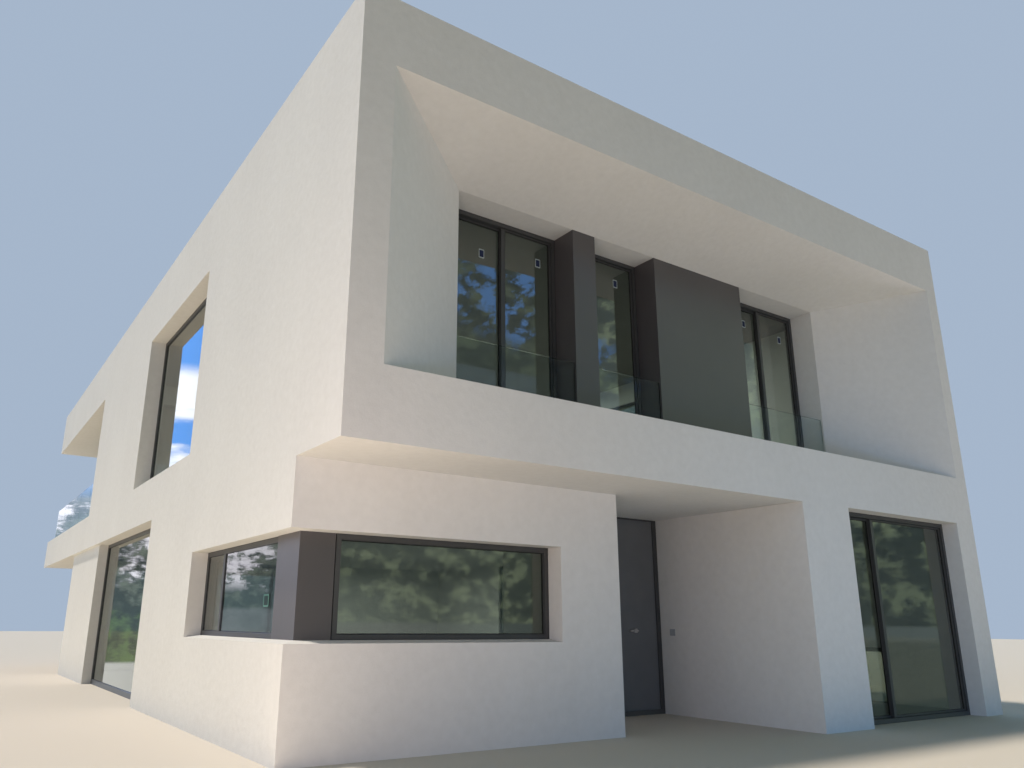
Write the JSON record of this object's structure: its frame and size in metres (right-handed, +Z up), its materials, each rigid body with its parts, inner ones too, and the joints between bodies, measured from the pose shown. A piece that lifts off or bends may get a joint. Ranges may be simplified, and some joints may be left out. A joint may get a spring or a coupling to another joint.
{
  "type": "detached house",
  "caption": "Two-storey flat-roofed house in pale render with a splayed balcony recess, corner window, porch, hinged entrance door and deep covered rear terrace.",
  "frame": {"origin": "middle of the footprint at ground level", "axes": "front faces -Y, +X runs right along the front, +Z up"},
  "size_m": [10.45, 21.2, 7.3],
  "materials": {
    "render": "matte",
    "floor": "matte",
    "roofing": "rough",
    "cladding": "satin",
    "frame": "satin",
    "glass": "clear",
    "guard_glass": "clear",
    "door": "satin",
    "steel": "brushed"
  },
  "bodies": {
    "house": {"kitchen_front_wall": "render", "left_lower_wall": "render", "left_rear_pier": "render", "porch_left_wall": "render", "porch_back_wall": "render", "porch_right_wall": "render", "entrance_pier": "render", "right_corner_pier": "render", "right_lower_wall": "render", "rear_lower_wall": "render", "floor_soffit": "render", "terrace_edge": "render", "left_upper_wall": "render", "right_upper_wall": "render", "front_sill_band": "render", "front_top_band": "render", "left_splay": "render", "right_splay": "render", "splayed_soffit": "render", "rear_upper_wall": "render", "canopy_edge": "render", "canopy_soffit": "render", "ground_floor": "floor", "upper_floor": "floor", "roof_slab": "roofing", "narrow_pier": "cladding", "wide_pier": "cladding", "corner_column": "cladding", "corner_window_frame": "frame", "balcony_window_frames": "frame", "tall_front_frame": "frame", "left_window_frames": "frame", "right_window_frames": "frame", "rear_window_frames": "frame", "door_frame": "frame", "lower_glass": "glass", "upper_glass": "glass", "balcony_guards": "guard_glass", "terrace_guard": "guard_glass", "door_hinges": "steel", "bell_plate": "steel"},
    "entrance_door": {"door_leaf": "door", "door_handle": "steel", "leaf_hinges": "steel"}
  },
  "joints": [
    {"name": "entrance_door_hinge", "type": "hinge", "parent": "house", "child": "entrance_door", "pos_m": [-0.125, -7.98, 1.4], "axis": [0, 0, 1], "range_deg": [0, 90]}
  ]
}
